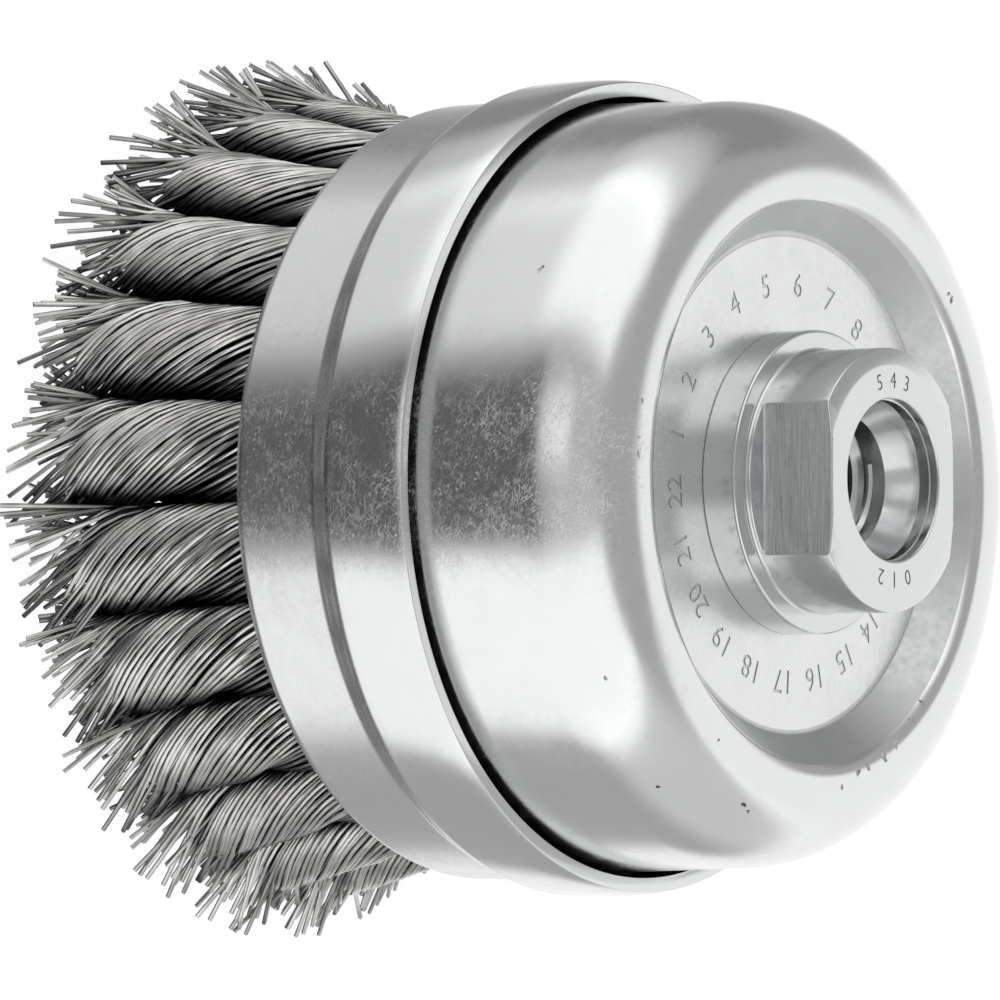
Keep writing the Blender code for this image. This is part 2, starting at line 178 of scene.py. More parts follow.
def zinc_plating(name, hex_colour, roughness, scuffed, dull_below=0.0):
    """Bright zinc plating on drawn or turned steel: a pale mirror with soft mottling. Handling leaves
    short, frosty scratches and pinprick scuffs, most of them on the front, and they show where it
    mirrors the dark. Scuffed is their strength. The plating is hazier below dull_below, in metres."""
    made = bpy.data.materials.new(name)
    made.use_nodes = True
    tree = made.node_tree
    shader = tree.nodes["Principled BSDF"]
    shader.inputs["Metallic"].default_value = 1.0
    shader.inputs["Base Color"].default_value = linear(hex_colour)
    place = add_node(tree, "ShaderNodeTexCoord")["Object"]

    # Clouds 4 mm across, mottling 0.8 mm across and polishing lines 9 mm long and 0.25 mm wide
    cloud = add_node(tree, "ShaderNodeTexNoise", {"Vector": place, "Scale": 1000 / 4.0, "Detail": 5.0,
                                                  "Roughness": 0.62})["Fac"]
    mottle = add_node(tree, "ShaderNodeTexNoise", {"Vector": place, "Scale": 1000 / 0.8, "Detail": 3.0,
                                                   "Roughness": 0.7})["Fac"]
    lines_place = add_node(tree, "ShaderNodeMapping", {
        "Vector": place, "Scale": (110.0, 110.0, 4000.0)})["Vector"]
    lines = add_node(tree, "ShaderNodeTexNoise", {"Vector": lines_place, "Scale": 1.0, "Detail": 3.0,
                                                  "Roughness": 0.65})["Fac"]

    # Pinprick scuffs 0.2 mm across in cells of 0.77 mm, and scratches 1.1 mm long and 0.1 mm wide,
    # laid four ways
    pricks = add_node(tree, "ShaderNodeTexVoronoi", {"Vector": place, "Scale": 1300.0})["Distance"]
    frost = add_node(tree, "ShaderNodeMapRange", {
        "Value": pricks, "From Min": 0.10, "From Max": 0.22, "To Min": 1.0, "To Max": 0.0})["Result"]
    for lean in (4, 27, 62, -48):
        scratch_place = add_node(tree, "ShaderNodeMapping", {
            "Vector": place, "Rotation": (0.0, math.radians(lean), 0.0),
            "Scale": (0.0011, 0.0011, 0.0001)}, vector_type="TEXTURE")["Vector"]
        scratches = add_node(tree, "ShaderNodeTexNoise", {
            "Vector": scratch_place, "Scale": 1.0, "Detail": 2.0})["Fac"]
        scratches = add_node(tree, "ShaderNodeMapRange", {
            "Value": scratches, "From Min": 0.592, "From Max": 0.70, "To Min": 0.0, "To Max": 0.9})["Result"]
        frost = add_node(tree, "ShaderNodeMath", {0: frost, 1: scratches}, operation="MAXIMUM")["Value"]

    # They are bunched by the clouds and lie on a rubbed strip up the front. Its full scuffing reaches
    # 6.5 mm from its middle line and fades out to 12 % at 10.5 mm, which is left all round
    rubbed_line, full_reach, fade_reach, left_over = (-0.001, -0.0405, 0.0), 0.0065, 0.0105, 0.12
    bunched = add_node(tree, "ShaderNodeMapRange", {
        "Value": cloud, "From Min": 0.36, "From Max": 0.60, "To Min": 0.3, "To Max": 1.0})["Result"]
    level = add_node(tree, "ShaderNodeVectorMath", {
        0: place, 1: (1.0, 1.0, 0.0)}, operation="MULTIPLY")["Vector"]
    away = add_node(tree, "ShaderNodeVectorMath", {
        0: level, 1: rubbed_line}, operation="DISTANCE")["Value"]
    rubbed = add_node(tree, "ShaderNodeMapRange", {
        "Value": away, "From Min": full_reach, "From Max": fade_reach, "To Min": scuffed,
        "To Max": scuffed * left_over})["Result"]
    frost = add_node(tree, "ShaderNodeMath", {0: frost, 1: bunched}, operation="MULTIPLY")["Value"]
    frost = add_node(tree, "ShaderNodeMath", {0: frost, 1: rubbed}, operation="MULTIPLY")["Value"]

    # Roughness varies by a fifth with the mottling, and rises where it is scuffed and below dull_below
    grain = add_node(tree, "ShaderNodeMath", {0: mottle, 1: cloud}, operation="ADD")["Value"]
    rough = add_node(tree, "ShaderNodeMapRange", {
        "Value": grain, "From Min": 0.75, "From Max": 1.25, "To Min": roughness * 0.8,
        "To Max": roughness * 1.25})["Result"]
    rough = add_node(tree, "ShaderNodeMath", {0: frost, 1: 0.6, 2: rough}, operation="MULTIPLY_ADD")["Value"]
    up = add_node(tree, "ShaderNodeSeparateXYZ", {0: place})["Z"]
    haze = add_node(tree, "ShaderNodeMapRange", {
        "Value": up, "From Min": dull_below, "From Max": dull_below + 0.002, "To Min": 0.09,
        "To Max": 0.0})["Result"]
    rough = add_node(tree, "ShaderNodeMath", {0: rough, 1: haze}, operation="ADD")["Value"]
    tree.links.new(rough, shader.inputs["Roughness"])

    # Polishing lines and mottling stand a few thousandths of a millimetre high
    height = add_node(tree, "ShaderNodeMath", {
        0: lines, 1: 0.4, 2: mottle}, operation="MULTIPLY_ADD")["Value"]
    bump = add_node(tree, "ShaderNodeBump", {
        "Height": height, "Strength": 0.04, "Distance": 0.00005})["Normal"]
    tree.links.new(bump, shader.inputs["Normal"])
    return made


# Zinc on the drawn cup is a bright, scuffed mirror; in the recess and in nicks it is grey and dull
cup_plating = zinc_plating("cup_zinc_plating", "#dfe0e0", 0.18, 1.0)
recess_plating = zinc_plating("recess_zinc_plating", "#c9caca", 0.38, 0.0)

# Floor of the stamped figures: the press leaves it dull, and dirt stays in it
stamped_floor = bpy.data.materials.new("stamped_floor")
stamped_floor.use_nodes = True
shader = stamped_floor.node_tree.nodes["Principled BSDF"]
shader.inputs["Base Color"].default_value = linear("#a9abac")
shader.inputs["Metallic"].default_value = 1.0
shader.inputs["Roughness"].default_value = 0.45

# Shell: its floor lies just under the disc's face and steps up to it beside the disc's edge
outline = [(SHANK_HOLE_RADIUS, DISC_Z - SHELL_BELOW_DISC),
           (DISC_RADIUS - SHELL_STEP, DISC_Z - SHELL_BELOW_DISC)]
outline += arc((DISC_RADIUS, DISC_Z + RECESS_FILLET), RECESS_FILLET, RECESS_FILLET,
               -90, RECESS_SLOPE - 90, 6)
recess_end = len(outline)
outline += arc((CREST_CIRCLE, CREST_Z - CREST_RADIUS), CREST_RADIUS, CREST_RADIUS,
               90 + RECESS_SLOPE, 90, 10)
outline += arc((CREST_CIRCLE, SHOULDER_Z), SHOULDER_RADIUS - CREST_CIRCLE, CREST_Z - SHOULDER_Z,
               90, 0, 28)[1:]
outline += [(CUP_RIM_RADIUS, CUP_RIM_Z)]
recess_edge_radius = outline[recess_end][0]
rim = len(outline) - 1
shell_bm = turned(sheet_section(outline, CUP_WALL),
                  {rim: CUP_OUTER_ROUNDING, rim + 1: CUP_INNER_ROUNDING}, CUP_SEGMENTS)

# Coined disc: pressed flat and satin, and stamped with plain numbers that count the knots
KNOT_COUNT = 22
DISC_EDGE, DISC_DEPTH, DISC_ROUNDING = 25.3, 0.5, 0.10
NUMBER_CIRCLE, NUMBER_SIZE, NUMBER_DEPTH = 20.2, 3.5, 0.14
FIRST_NUMBER_TURN = 257.5
disc_bm = turned([(SHANK_HOLE_RADIUS, DISC_Z - DISC_DEPTH), (DISC_EDGE, DISC_Z - DISC_DEPTH),
                  (DISC_EDGE, DISC_Z), (SHANK_HOLE_RADIUS, DISC_Z)], {2: DISC_ROUNDING}, CUP_SEGMENTS)
coined_plating = zinc_plating("coined_zinc_plating", "#dfe0e0", 0.26, 0.08)
disc = finish_piece("disc", disc_bm, coined_plating)
numbers = [(str(i + 1), FIRST_NUMBER_TURN - i * 360 / KNOT_COUNT) for i in range(KNOT_COUNT)]
carve(disc, stamp_marks(numbers, NUMBER_CIRCLE, NUMBER_SIZE, DISC_Z, NUMBER_DEPTH), stamped_floor)
disc.data.set_sharp_from_angle(angle=math.radians(12))
cup_shell = finish_piece("cup_shell_visual", shell_bm, cup_plating)

# Nicks from handling: shallow, ragged dents on the crest, the shoulder and the wall, each given as
# (turn in degrees, radius, height, size). Its short side points out along the sheet's normal
NICK_DEPTH, NICK_WIDTH, NICK_LENGTH = 0.16, 0.42, 0.75
SHOULDER_LEAN = 1.6
NICKS = [(238.5, 39.38, 59.56, 0.7), (302.0, 37.68, 66.07, 0.55), (339.0, 34.97, 68.99, 0.9),
         (341.0, 35.25, 68.75, 0.7), (26.0, 29.89, 70.31, 0.8), (21.0, 30.12, 70.36, 0.95),
         (15.0, 30.12, 70.36, 0.7), (11.5, 30.12, 70.36, 0.8), (5.5, 31.18, 70.37, 0.6),
         (131.0, 30.88, 70.39, 0.6), (129.5, 30.88, 70.39, 0.8), (257.0, 32.1, 70.24, 0.5),
         (263.5, 32.1, 70.24, 0.45), (266.5, 32.1, 70.24, 0.5), (34.0, 29.27, 70.04, 0.7),
         (324.0, 38.02, 65.46, 0.6), (324.5, 32.1, 70.24, 0.45), (39.5, 29.08, 69.91, 0.6)]
rng = random.Random(7)
nicks_bm = bmesh.new()
for turn, radius, height, size in NICKS:
    rise = 0.0
    if height > SHOULDER_Z:
        rise = math.atan2(height - CREST_Z + CREST_RADIUS, (radius - CREST_CIRCLE) * SHOULDER_LEAN)
    place = Matrix.Rotation(math.radians(turn), 4, "Z") @ Matrix.Translation((radius, 0, height))
    lean = Matrix.Rotation(-rise, 4, "Y") @ Matrix.Rotation(rng.uniform(0, math.pi), 4, "X")
    stretch = Matrix.Diagonal((NICK_DEPTH, NICK_WIDTH * size, NICK_LENGTH * size, 1.0))
    nick = bmesh.ops.create_icosphere(nicks_bm, subdivisions=2, radius=1.0)
    for vert in nick["verts"]:
        vert.co *= rng.uniform(0.65, 1.25)
    bmesh.ops.transform(nicks_bm, matrix=place @ lean @ stretch, verts=nick["verts"])
carve(cup_shell, nicks_bm, recess_plating)
cup_shell.data.set_sharp_from_angle(angle=math.radians(25))

# The disc joins the shell: finishes 0 and 1 are the shell's, 2 and 3 are the disc's and its figures'
DISC_FINISH, RECESS_FINISH = 2, 1
both = bmesh.new()
both.from_mesh(disc.data)
for face in both.faces:
    face.material_index += DISC_FINISH
both.from_mesh(cup_shell.data)
for face in both.faces:
    middle = face.calc_center_median() / MM
    on_top = middle.z > DISC_Z - CUP_WALL / 8
    in_recess = on_top and math.hypot(middle.x, middle.y) < recess_edge_radius
    if in_recess and face.material_index == 0:
        face.material_index = RECESS_FINISH
both.to_mesh(cup_shell.data)
both.free()
cup_shell.data.materials.append(coined_plating)
cup_shell.data.materials.append(stamped_floor)
bpy.data.objects.remove(disc, do_unlink=True)
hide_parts("cup_shell")


# Support ring: a ring rolled from strip and pressed over the cup's rim. A smooth joggle steps it
# down to its front part, whose lip turns in over the knots. It has the same bright zinc plating.
RING_FRONT_Z, JOGGLE_Z, JOGGLE_TOP_Z, RING_REAR_Z = 26.2, 35.9, 39.7, 48.5
RING_FRONT_RADIUS, RING_REAR_RADIUS = 40.8, 42.4
RING_REAR_EDGE_RADIUS = 42.0
RING_TAPER_END, RING_TAPER_MIDDLE, RING_TAPER_BOW = 3.4, 1.6, 0.12
RING_LIP_RADIUS, RING_LIP_TURN = 1.8, 40
RING_WALL = 1.6
JOGGLE_STEPS = 16

# Zinc on the rolled ring mirrors more sharply than on the cup, and is hazier from the joggle down
ring_plating = zinc_plating("ring_zinc_plating", "#dbdcdc", 0.15, 0.9, dull_below=0.0385)

outline = [(RING_REAR_EDGE_RADIUS, RING_REAR_Z),
           (RING_REAR_RADIUS - RING_TAPER_BOW, RING_REAR_Z - RING_TAPER_MIDDLE),
           (RING_REAR_RADIUS, RING_REAR_Z - RING_TAPER_END)]
for i in range(JOGGLE_STEPS + 1):
    share = i / JOGGLE_STEPS
    step = share * share * (3 - 2 * share)
    outline.append((RING_REAR_RADIUS + (RING_FRONT_RADIUS - RING_REAR_RADIUS) * step,
                    JOGGLE_TOP_Z + (JOGGLE_Z - JOGGLE_TOP_Z) * share))
lip_height = RING_FRONT_Z + RING_LIP_RADIUS * math.sin(math.radians(RING_LIP_TURN))
outline += arc((RING_FRONT_RADIUS - RING_LIP_RADIUS, lip_height), RING_LIP_RADIUS, RING_LIP_RADIUS,
               0, -RING_LIP_TURN, 8)
lip = len(outline) - 1
section = sheet_section(outline, RING_WALL)

# Rounded corners: the outer and inner one of the rear edge, and those of the lip
ring_bm = turned(section, {0: 0.14, len(section) - 1: 0.2, lip: 0.25, lip + 1: 0.15}, CUP_SEGMENTS)
support_ring = finish_piece("support_ring_visual", ring_bm, ring_plating)
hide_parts("support_ring")


# Bush: turned from bar steel, with a flange, two milled wrench flats, a chamfered end, a
# counterbored mouth and an internal thread. Its lower end is riveted over the knot plate.
BUSH_BASE_Z, RIVET_TOP_Z = 60.2, 62.0
COLLAR_Z, COLLAR_TOP_Z, BUSH_END_Z = 66.22, 70.05, 78.9
RIVET_HEAD_RADIUS, SHANK_RADIUS, COLLAR_RADIUS = 13.4, 10.8, 15.5
BODY_RADIUS, END_CHAMFER_WIDTH, END_CHAMFER_DROP = 13.4, 1.8, 0.45
MOUTH_RADIUS, MOUTH_DEPTH = 8.25, 3.3
CONE_RADIUS, CONE_DEPTH = 6.64, 2.2
MOUTH_FOOT_DROP, MOUTH_FOOT_STEP = 2.35, 0.3
RIDGE_HEIGHT, RIDGE_SLOPE, RIDGE_TOP_DROP, RIDGE_FOOT_DROP = 0.13, 0.08, 1.0, 1.28
BAND_RADIUS, BAND_DEPTH, BAND_STEP = 6.35, 1.3, 0.05
THREAD_MAJOR_RADIUS, THREAD_MINOR_RADIUS, THREAD_PITCH = 7.0, 6.02, 2.0
ACROSS_FLATS = 22.0
SHELF_Z = COLLAR_TOP_Z + 0.5
BUSH_SEGMENTS = 192

# Zinc on the turned bush is a clean mirror with hardly a scuff
bush_plating = zinc_plating("bush_zinc_plating", "#d5d7d7", 0.17, 0.3)

# Section: round the outside from the rivet head up, then down the mouth, past the low ridge that the
# tool left between two cuts, and down the cone and the smooth band to the bore
mouth_z = BUSH_END_Z - MOUTH_DEPTH
cone_z = mouth_z - CONE_DEPTH
section = [
    (THREAD_MAJOR_RADIUS, BUSH_BASE_Z), (RIVET_HEAD_RADIUS, BUSH_BASE_Z), (RIVET_HEAD_RADIUS, RIVET_TOP_Z),
    (SHANK_RADIUS, RIVET_TOP_Z), (SHANK_RADIUS, COLLAR_Z), (COLLAR_RADIUS, COLLAR_Z),
    (COLLAR_RADIUS, COLLAR_TOP_Z), (BODY_RADIUS, COLLAR_TOP_Z),
    (BODY_RADIUS, BUSH_END_Z - END_CHAMFER_DROP), (BODY_RADIUS - END_CHAMFER_WIDTH, BUSH_END_Z),
    (MOUTH_RADIUS, BUSH_END_Z), (MOUTH_RADIUS, BUSH_END_Z - RIDGE_TOP_DROP),
    (MOUTH_RADIUS - RIDGE_HEIGHT, BUSH_END_Z - RIDGE_TOP_DROP - RIDGE_SLOPE),
    (MOUTH_RADIUS - RIDGE_HEIGHT, BUSH_END_Z - RIDGE_FOOT_DROP + RIDGE_SLOPE),
    (MOUTH_RADIUS, BUSH_END_Z - RIDGE_FOOT_DROP), (MOUTH_RADIUS, BUSH_END_Z - MOUTH_FOOT_DROP),
    (MOUTH_RADIUS - MOUTH_FOOT_STEP, mouth_z), (CONE_RADIUS, cone_z),
    (BAND_RADIUS, cone_z - BAND_DEPTH), (THREAD_MAJOR_RADIUS, cone_z - BAND_DEPTH - BAND_STEP),
]

# Rounded corners: the rivet head, the flange's lower and upper edge, the body's foot, the end
# chamfer's lower and upper edge, and the mouth's edge
bush_bm = turned(section, {1: 0.5, 5: 0.1, 6: 0.3, 7: 0.3, 8: 0.12, 9: 0.15, 10: 0.2}, BUSH_SEGMENTS)
hub = finish_piece("hub_visual", bush_bm, bush_plating, smooth_angle=14)
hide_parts("hub")

# Wrench flats: milled off both sides, down to just above the flange. The cutter leaves fine lines
# 5 mm long and 0.16 mm wide, so a flat looks grey and brushed beside the turned faces
CUTTER_LENGTH, CUTTER_DEPTH, CUTTER_CORNER = 60, 20, 0.35
ARRIS_ROUNDING = 0.12
milled_flat = bpy.data.materials.new("milled_zinc_plated_flat")
milled_flat.use_nodes = True
tree = milled_flat.node_tree
shader = tree.nodes["Principled BSDF"]
shader.inputs["Metallic"].default_value = 1.0
place = add_node(tree, "ShaderNodeTexCoord")["Object"]
lines_place = add_node(tree, "ShaderNodeMapping", {
    "Vector": place, "Scale": (1000 / 5.0, 1000 / 5.0, 1000 / 0.16)})["Vector"]
lines = add_node(tree, "ShaderNodeTexNoise", {"Vector": lines_place, "Scale": 1.0, "Detail": 4.0,
                                              "Roughness": 0.75})["Fac"]
worn = add_node(tree, "ShaderNodeMapRange", {"Value": lines, "From Min": 0.35, "From Max": 0.68})["Result"]
colour = add_node(tree, "ShaderNodeMix", {
    "Factor": worn, 6: linear("#bcbfc1"), 7: linear("#e2e3e3")}, data_type="RGBA")[2]
tree.links.new(colour, shader.inputs["Base Color"])
rough = add_node(tree, "ShaderNodeMapRange", {"Value": worn, "To Min": 0.18, "To Max": 0.42})["Result"]
tree.links.new(rough, shader.inputs["Roughness"])
bump = add_node(tree, "ShaderNodeBump", {"Height": lines, "Strength": 0.25, "Distance": 0.00005})["Normal"]
tree.links.new(bump, shader.inputs["Normal"])

for side in (-1, 1):
    bm = bmesh.new()
    bmesh.ops.create_cube(bm, size=1.0)
    bmesh.ops.scale(bm, vec=(CUTTER_LENGTH, CUTTER_DEPTH, CUTTER_DEPTH), verts=bm.verts)
    bmesh.ops.translate(bm, vec=(0, side * (ACROSS_FLATS / 2 + CUTTER_DEPTH / 2),
                                 SHELF_Z + CUTTER_DEPTH / 2), verts=bm.verts)
    corner = [edge for edge in bm.edges if all(
        vert.co.z < SHELF_Z + 1 and abs(vert.co.y) < ACROSS_FLATS / 2 + 1 for vert in edge.verts)]
    bmesh.ops.bevel(bm, geom=corner, offset=CUTTER_CORNER, offset_type="OFFSET", segments=4,
                    profile=0.5, affect="EDGES", material=-1)
    carve(hub, bm, milled_flat)

# Plain figures stamped in the end face, three on each side, as (figure, degrees)
FIGURE_CIRCLE, FIGURE_SIZE, FIGURE_DEPTH = 10.0, 2.3, 0.12
figures = [("0", 14), ("1", 0), ("2", -14), ("3", 166), ("4", 180), ("5", 194)]
carve(hub, stamp_marks(figures, FIGURE_CIRCLE, FIGURE_SIZE, BUSH_END_Z, FIGURE_DEPTH), stamped_floor)

# Arrises: the edges between turned and milled faces are rounded a little and catch the light
bm = bmesh.new()
bm.from_mesh(hub.data)
arrises = [edge for edge in bm.edges if len(edge.link_faces) == 2
           and sorted(face.material_index for face in edge.link_faces) == [0, 1]]
bmesh.ops.bevel(bm, geom=arrises, offset=ARRIS_ROUNDING * MM, offset_type="OFFSET", segments=2,
                profile=0.5, affect="EDGES", material=0)
bm.to_mesh(hub.data)
bm.free()
hub.data.set_sharp_from_angle(angle=math.radians(14))

# Thread: one right-hand ridge wound up the bore, its root sunk a little into the bore's wall
HALF_ROOT, HALF_CREST, ROOT_SUNK = 0.93, 0.14, 0.03
THREAD_START_Z = BUSH_BASE_Z + 0.95
THREAD_TURNS, STEPS_PER_TURN = 5.3, 72
bm = bmesh.new()
ridge = [bm.verts.new((radius, 0, THREAD_START_Z + height)) for radius, height in (
    (THREAD_MAJOR_RADIUS + ROOT_SUNK, -HALF_ROOT), (THREAD_MINOR_RADIUS, -HALF_CREST),
    (THREAD_MINOR_RADIUS, HALF_CREST), (THREAD_MAJOR_RADIUS + ROOT_SUNK, HALF_ROOT))]
start = [bm.edges.new((ridge[i - 1], ridge[i])) for i in range(4)]
steps = int(THREAD_TURNS * STEPS_PER_TURN)
end = bmesh.ops.spin(bm, geom=ridge + start, cent=(0, 0, 0), axis=(0, 0, 1),
                     angle=2 * math.pi * THREAD_TURNS, steps=steps, use_duplicate=False,
                     dvec=(0, 0, THREAD_PITCH * THREAD_TURNS / steps))["geom_last"]
bmesh.ops.edgeloop_fill(bm, edges=start)
bmesh.ops.edgeloop_fill(bm, edges=[item for item in end if isinstance(item, bmesh.types.BMEdge)])
bmesh.ops.recalc_face_normals(bm, faces=bm.faces)
thread = finish_piece("thread_visual", bm, bush_plating, smooth_angle=40)


# Knot plate: a dished plate pressed from black steel sheet, with one hole for each knot near its
# rim. It is riveted under the cup's disc and the knots hang from it.
KNOT_START_ANGLE = math.radians(-95.35)
PLATE_TOP_Z, PLATE_RIM_TOP_Z, PLATE_THICKNESS = 64.3, 60.0, 2.0
PLATE_RIM_RADIUS, PLATE_HOLE_CIRCLE = 33.56, 29.66
PLATE_HOLE_RADIUS = 2.1
PLATE_DISH_RADIUS, PLATE_DISH_WIDTH, PLATE_BEND_RADIUS = 18.5, 3.5, 2.0
PLATE_EDGE_ROUNDING = 0.4
PLATE_SEGMENTS = 220
DRILL_LENGTH = 6.0

# Black steel sheet from the mill: darker and duller than the plated pieces
pressed_steel = bpy.data.materials.new("pressed_steel_sheet")
pressed_steel.use_nodes = True
shader = pressed_steel.node_tree.nodes["Principled BSDF"]
shader.inputs["Base Color"].default_value = linear("#8d8c8a")
shader.inputs["Metallic"].default_value = 1.0
shader.inputs["Roughness"].default_value = 0.42

outline = [(SHANK_HOLE_RADIUS, PLATE_TOP_Z)]
outline += arc((PLATE_DISH_RADIUS, PLATE_TOP_Z - PLATE_BEND_RADIUS),
               PLATE_BEND_RADIUS, PLATE_BEND_RADIUS, 90, 45, 6)
outline += arc((PLATE_DISH_RADIUS + PLATE_DISH_WIDTH, PLATE_RIM_TOP_Z + PLATE_BEND_RADIUS),
               PLATE_BEND_RADIUS, PLATE_BEND_RADIUS, -135, -90, 6)
outline += [(PLATE_RIM_RADIUS, PLATE_RIM_TOP_Z)]
plate_rim = len(outline) - 1
plate_bm = turned(sheet_section(outline, PLATE_THICKNESS),
                  {plate_rim: PLATE_EDGE_ROUNDING, plate_rim + 1: PLATE_EDGE_ROUNDING}, PLATE_SEGMENTS)
knot_plate = finish_piece("knot_plate_visual", plate_bm, pressed_steel)
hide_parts("knot_plate")
bm = bmesh.new()
for knot in range(KNOT_COUNT):
    angle = KNOT_START_ANGLE + 2 * math.pi * knot / KNOT_COUNT
    place = Matrix.Translation((PLATE_HOLE_CIRCLE * math.cos(angle), PLATE_HOLE_CIRCLE * math.sin(angle),
                                PLATE_RIM_TOP_Z - PLATE_THICKNESS / 2))
    bmesh.ops.create_cone(bm, cap_ends=True, segments=24, radius1=PLATE_HOLE_RADIUS,
                          radius2=PLATE_HOLE_RADIUS, depth=DRILL_LENGTH, matrix=place)
carve(knot_plate, bm, pressed_steel)


# Knots: ropes of hard-drawn steel wire, 0.5 mm thick. Each goes over the plate's rim, down
# through its hole, and is twisted left-handed on itself; the twist is loose under the ring and
# tight near the tips, where each wire leaves the rope and runs on straight.
WIRE_RADIUS = 0.25
KNOT_HALF_WIDTH, KNOT_HALF_DEPTH = 6.0, 4.7
KNOT_GROOVE, GROOVE_WIDTH = 0.82, 0.5
HELD_TWIST, RING_TWIST, TIP_TWIST, TIGHT_Z = 0.055, 0.072, 0.205, 8.0
GROOVE_Z = 13.5
KNOT_TOP_Z = 55.9
KNOT_CIRCLE_TIP, KNOT_CIRCLE_RING, KNOT_CIRCLE_RIM, KNOT_CIRCLE_TOP = 39.2, 34.2, 33.6, 32.76
FRAY_Z, REACH = 7.0, 47.5
OUTER_WIRES, INNER_WIRES, CORE_WIRES = 46, 38, 14
LEG_WIRES = 11
LEAD_OUT = 0.5
FOLD_CIRCLE, FOLD_RADIUS, FOLD_Z = 32.71, 3.05, 59.05
LEG_RADIUS, LEG_END_Z = 1.45, KNOT_TOP_Z - 2.0
CORE_POINTS, CORE_SIZE, CORE_TIP_SIZE, CORE_TIP_Z = 14, 0.74, 0.4, 6

# Hard-drawn wire: the die leaves it bright grey with paler and darker lengths of 4 mm. A per-vertex
# attribute paints shade on it: near black in the creases, the grooves, the hollow side and one flank of each
# knot
wire_steel = bpy.data.materials.new("hard_drawn_steel_wire")
wire_steel.use_nodes = True
tree = wire_steel.node_tree
shader = tree.nodes["Principled BSDF"]
shader.inputs["Metallic"].default_value = 1.0
shader.inputs["Roughness"].default_value = 0.3
place = add_node(tree, "ShaderNodeTexCoord")["Object"]
tone = add_node(tree, "ShaderNodeTexNoise", {"Vector": place, "Scale": 260.0, "Detail": 3.0})["Fac"]
tone = add_node(tree, "ShaderNodeMapRange", {"Value": tone, "From Min": 0.35, "From Max": 0.65})["Result"]
colour = add_node(tree, "ShaderNodeMix", {
    "Factor": tone, 6: linear("#b4b3b1"), 7: linear("#dad9d7")}, data_type="RGBA")[2]
# Painted shade: the wire turns near black where the attribute read here is 0
unshaded = add_node(tree, "ShaderNodeAttribute", attribute_name="unshaded")["Fac"]
colour = add_node(tree, "ShaderNodeMix", {
    "Factor": unshaded, 6: linear("#1c1b1b"), 7: colour}, data_type="RGBA")[2]
tree.links.new(colour, shader.inputs["Base Color"])


def smooth_step(value, start, end):
    """0 before start, 1 after end and a smooth step between them."""
    share = min(max((value - start) / (end - start), 0.0), 1.0)
    return share * share * (3 - 2 * share)


def knot_middle(height):
    """Radius of the circle that the knots' middles lie on at a height."""
    if height > CUP_RIM_Z:
        rise = KNOT_CIRCLE_TOP - KNOT_CIRCLE_RIM
        return KNOT_CIRCLE_RIM + rise * (height - CUP_RIM_Z) / (KNOT_TOP_Z - CUP_RIM_Z)
    if height > RING_FRONT_Z:
        rise = KNOT_CIRCLE_RIM - KNOT_CIRCLE_RING
        return KNOT_CIRCLE_RING + rise * smooth_step(height, RING_FRONT_Z, CUP_RIM_Z)
    rise = KNOT_CIRCLE_RING - KNOT_CIRCLE_TIP
    return KNOT_CIRCLE_TIP + rise * smooth_step(height, 0, RING_FRONT_Z)


def knot_turn(height):
    """How far the rope has turned, in radians, from the ring's front down. The twist is even above
    the ring's front, tightens evenly below it down to TIGHT_Z, and is even from there."""
    tighten = (TIP_TWIST - RING_TWIST) / (RING_FRONT_Z - TIGHT_Z)
    if height > RING_FRONT_Z:
        return HELD_TWIST * (RING_FRONT_Z - height)
    low = max(height, TIGHT_Z)
    turn = RING_TWIST * (RING_FRONT_Z - low) + tighten * (RING_FRONT_Z - low) ** 2 / 2
    return turn + TIP_TWIST * (low - height)


def knot_point(height, around, size):
    """Where a wire runs at a height: its place round the rope's section turns with the twist."""
    middle = knot_middle(height)
    lobes = KNOT_GROOVE + (1 - KNOT_GROOVE) * smooth_step(abs(math.cos(around)), 0, GROOVE_WIDTH)
    turn = knot_turn(height) - knot_turn(GROOVE_Z)
    radial = middle + KNOT_HALF_DEPTH * lobes * size * math.cos(around + turn)
    room = radial * math.tan(math.pi / KNOT_COUNT) - 0.1
    sideways = KNOT_HALF_WIDTH * lobes * size * math.sin(around + turn)
    return radial, min(max(sideways, -room), room)


def how_unshaded(radial, sideways, height):
    """Painted shade: 0 for wire in the creases, in the grooves, on the hollow side of a knot and on the
    flank that trails as the brush turns, where the wires lie in shade, and 1 for the wire outside."""
    middle = knot_middle(height)
    across = math.hypot((radial - middle) / KNOT_HALF_DEPTH, sideways / KNOT_HALF_WIDTH)
    outside = smooth_step(across, 0.76, 0.90) * smooth_step(radial - middle, -2.5, 0.5)
    room = radial * math.tan(math.pi / KNOT_COUNT)
    trailing = smooth_step(sideways / room, 0.35, 0.85)
    leading = smooth_step(-sideways / room, 0.88, 1.0)
    fray = 1 - smooth_step(height, 2.0, 8.0)
    return max(outside * (1 - trailing) * (1 - leading), fray * (1 - 0.8 * trailing))


